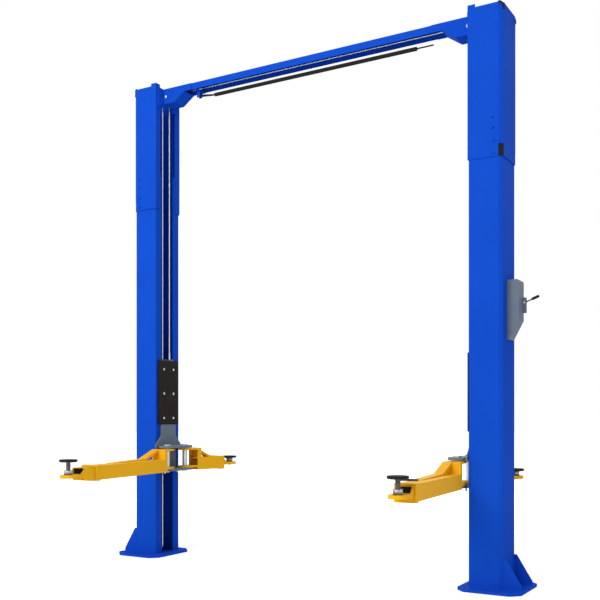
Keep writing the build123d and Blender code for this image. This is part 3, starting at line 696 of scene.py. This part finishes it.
def from_arm(name, points):
    """Points given along an arm, across it and up, placed where that arm stands: turned
    about its pin and lowered with its carriage."""
    east, north, drop, cosine, sine = stand(name)
    points = np.asarray(points, float)
    along, across, up = points[..., 0], points[..., 1], points[..., 2]
    return np.stack([east + along * cosine - across * sine,
                     north + along * sine + across * cosine, up - drop], axis=-1)


def to_arm(name, points):
    """The reverse of from_arm: places turned back into along, across and up."""
    east, north, drop, cosine, sine = stand(name)
    x, y = points[:, 0] - east, points[:, 1] - north
    return np.stack([x * cosine + y * sine, y * cosine - x * sine, points[:, 2] + drop], axis=1)


# Both columns carry the same weldment, so the brace stands on the left of every arm
# as it is seen from the front. The solids of the right arms have it on the other side.
for name in ("right_front", "right_back"):
    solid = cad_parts[name + "_arm"]
    mesh = solid.data.copy()
    corners = np.empty(len(mesh.vertices) * 3)
    mesh.vertices.foreach_get("co", corners)
    placed = np.array(solid.matrix_world)
    corners = corners.reshape(-1, 3) @ placed[:3, :3].T + placed[:3, 3]
    mirrored = from_arm(name, to_arm(name, corners) * (1, -1, 1))
    mesh.vertices.foreach_set("co", mirrored.ravel())
    shell = bmesh.new()
    shell.from_mesh(mesh)
    bmesh.ops.remove_doubles(shell, verts=shell.verts, dist=1e-6)
    bmesh.ops.recalc_face_normals(shell, faces=shell.faces)
    shell.to_mesh(mesh)
    shell.free()
    weldment = bpy.data.objects.new(name + "_arm_weldment", mesh)
    bpy.context.collection.objects.link(weldment)
    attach(weldment, name + "_arm")
    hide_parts(name + "_arm")


# Seams across the front of each root, beside it on the tube, and at the brace's foot.
root_front, side_start, side_end = 0.1305, 0.095, 0.128
brace_foot = {"front": 0.750, "back": 0.320}
seam_inset, root_weld, side_weld = 0.004, 0.004, 0.003
for name in arm_names:
    outside = arm_stance[name][1]
    foot = brace_foot[name.split("_")[1]]
    outer = arm_half - seam_inset
    seams = [weld((root_front, -outer, arm_roof), (root_front, outer, arm_roof), root_weld)]
    seams += [weld((side_start, edge * arm_half, arm_roof), (side_end, edge * arm_half, arm_roof),
                   side_weld) for edge in (-1, 1)]
    seams.append(weld((foot, outside * seam_inset, arm_roof), (foot, outside * outer, arm_roof),
                      root_weld))
    add_rings(name + "_arm_welds", [from_arm(name, seam) for seam in seams], yellow_coat,
              name + "_arm")


# Screw pads. An oily threaded stem turns up and down in the steel collar of the arm's
# boss, and carries a blacked saddle with a rubber disc. The thread's pitch is 6 mm.
# Blacked steel is nearly black with a soft gloss. Oil dulls the stem to a warm grey,
# and the bare collar has gone pale and dull. The disc is a dusty black.
screw_steel = bare_steel("blacked turned steel", "3B3B3D", 0.02, 0.002, 0.4)
stem_steel = bare_steel("oiled turned steel", "5E5F5A", 0.02, 0.002, 0.5)
collar_steel = bare_steel("dull turned steel", "94969A", 0.02, 0.002, 0.5)
disc_rubber = moulded_rubber("moulded black rubber disc", "252020", "1A1716", 0.003)
dress([name + "_pad_rubber" for name in arm_names], disc_rubber)
holder_reach, boss_top = 0.117, 0.770
stem_radius, saddle_radius, saddle_thick = 0.016, 0.058, 0.006
# Each screw's length, and how far its seat stands over the boss.
screw_sizes = {"front": (0.092, 0.056), "back": (0.060, 0.002)}


def threaded_stem(reach, low, high):
    """A stem with a thread that climbs one pitch in each turn, a chamfer at its foot and
    a plain neck. The phase is the height over the pitch less the share of a turn: near
    a half it is on the crest, near a whole it is at the root, and flanks lie between."""
    pitch, depth, steps, around = 0.006, 0.0022, 8, 32
    crest, flank_width = 0.12, 0.14
    foot_cut, foot_slope, neck = 0.003, 1.2, 0.008
    height = np.linspace(low, high, int((high - low) / pitch * steps))[:, None]
    turn = np.linspace(0, 2 * np.pi, around, endpoint=False)[None]
    phase = (height / pitch - turn / (2 * np.pi)) % 1
    flank = np.clip((np.abs(phase - 0.5) - crest) / flank_width, 0, 1)
    radius = stem_radius - depth * flank
    radius = np.minimum(radius, stem_radius - foot_cut + (height - low) * foot_slope)
    radius = np.where(height > high - neck, stem_radius - depth, radius)
    return np.stack([reach + radius * np.cos(turn), radius * np.sin(turn),
                     np.broadcast_to(height, radius.shape)], axis=-1)


def turn_profile(profile, reach, around=48):
    """A shape turned about a screw: a ring for each height and radius of its profile."""
    turn = np.linspace(0, 2 * np.pi, around, endpoint=False)
    return np.array([np.stack([reach + radius * np.cos(turn), radius * np.sin(turn),
                               np.full(around, height)], axis=1) for height, radius in profile])


hub_radius, rim_inset, rim_lift = 0.020, 0.002, 0.0015
sleeve = [(0.7402, 0.0278), (0.7690, 0.0278), (0.7708, 0.0260)]
for name in arm_names:
    reach = arm_stance[name][3] + holder_reach + arm_drawn[name]
    screw_length, rise = screw_sizes[name.split("_")[1]]
    seat = boss_top + rise
    stem = threaded_stem(reach, seat - screw_length, seat)
    screw = add_rings(name + "_pad_screw_stem", [from_arm(name, stem)], stem_steel, name + "_pad")
    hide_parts(name + "_pad_screw")
    dish = [(seat, hub_radius), (seat, saddle_radius - rim_inset),
            (seat + rim_lift, saddle_radius), (seat + saddle_thick, saddle_radius)]
    add_rings(name + "_pad_saddle", [from_arm(name, turn_profile(dish, reach))], screw_steel,
              name + "_pad")
    add_rings(name + "_screw_collar", [from_arm(name, turn_profile(sleeve, reach))], collar_steel,
              name + "_inner_arm")


# Tube ends. A dark sheet across each inner tube behind its boss, between the two ribs,
# is painted shade: it stands for the shadowed inside of the open tube end.
# The painted shade is nearly black and brownish, without shine.
painted_shade_sheet = sprayed_paint("painted shade of the open tube end", "352A24", "211A17", 0.6, 0.005)
end_half, end_low, end_high, end_skin = 0.043, 0.7240, 0.7765, 0.0004
for name in arm_names:
    end = arm_stance[name][3] + arm_drawn[name]
    sheet = np.array([[(end + skin, -end_half, end_low), (end + skin, end_half, end_low),
                       (end + skin, end_half, end_high), (end + skin, -end_half, end_high)]
                      for skin in (-end_skin, end_skin)])
    add_rings(name + "_tube_end_shade", [from_arm(name, sheet)], painted_shade_sheet, name + "_inner_arm",
              smooth=False)


# Saddle handle. A flat steel bar is welded under the saddle of the right front arm and
# stands out beside it.
handle_back, handle_half, handle_near, handle_far = 0.045, 0.013, -0.030, 0.100
handle_low, handle_high = 0.8140, 0.8262
handle_reach = arm_stance["right_front"][3] + holder_reach - handle_back
handle_outline = ((-handle_half, handle_near), (handle_half, handle_near),
                  (handle_half, handle_far), (-handle_half, handle_far))
handle = np.array([[(handle_reach + along, across, height) for along, across in handle_outline]
                   for height in (handle_low, handle_high)])
add_rings("right_front_saddle_handle", [from_arm("right_front", handle)], screw_steel,
          "right_front_pad", smooth=False)
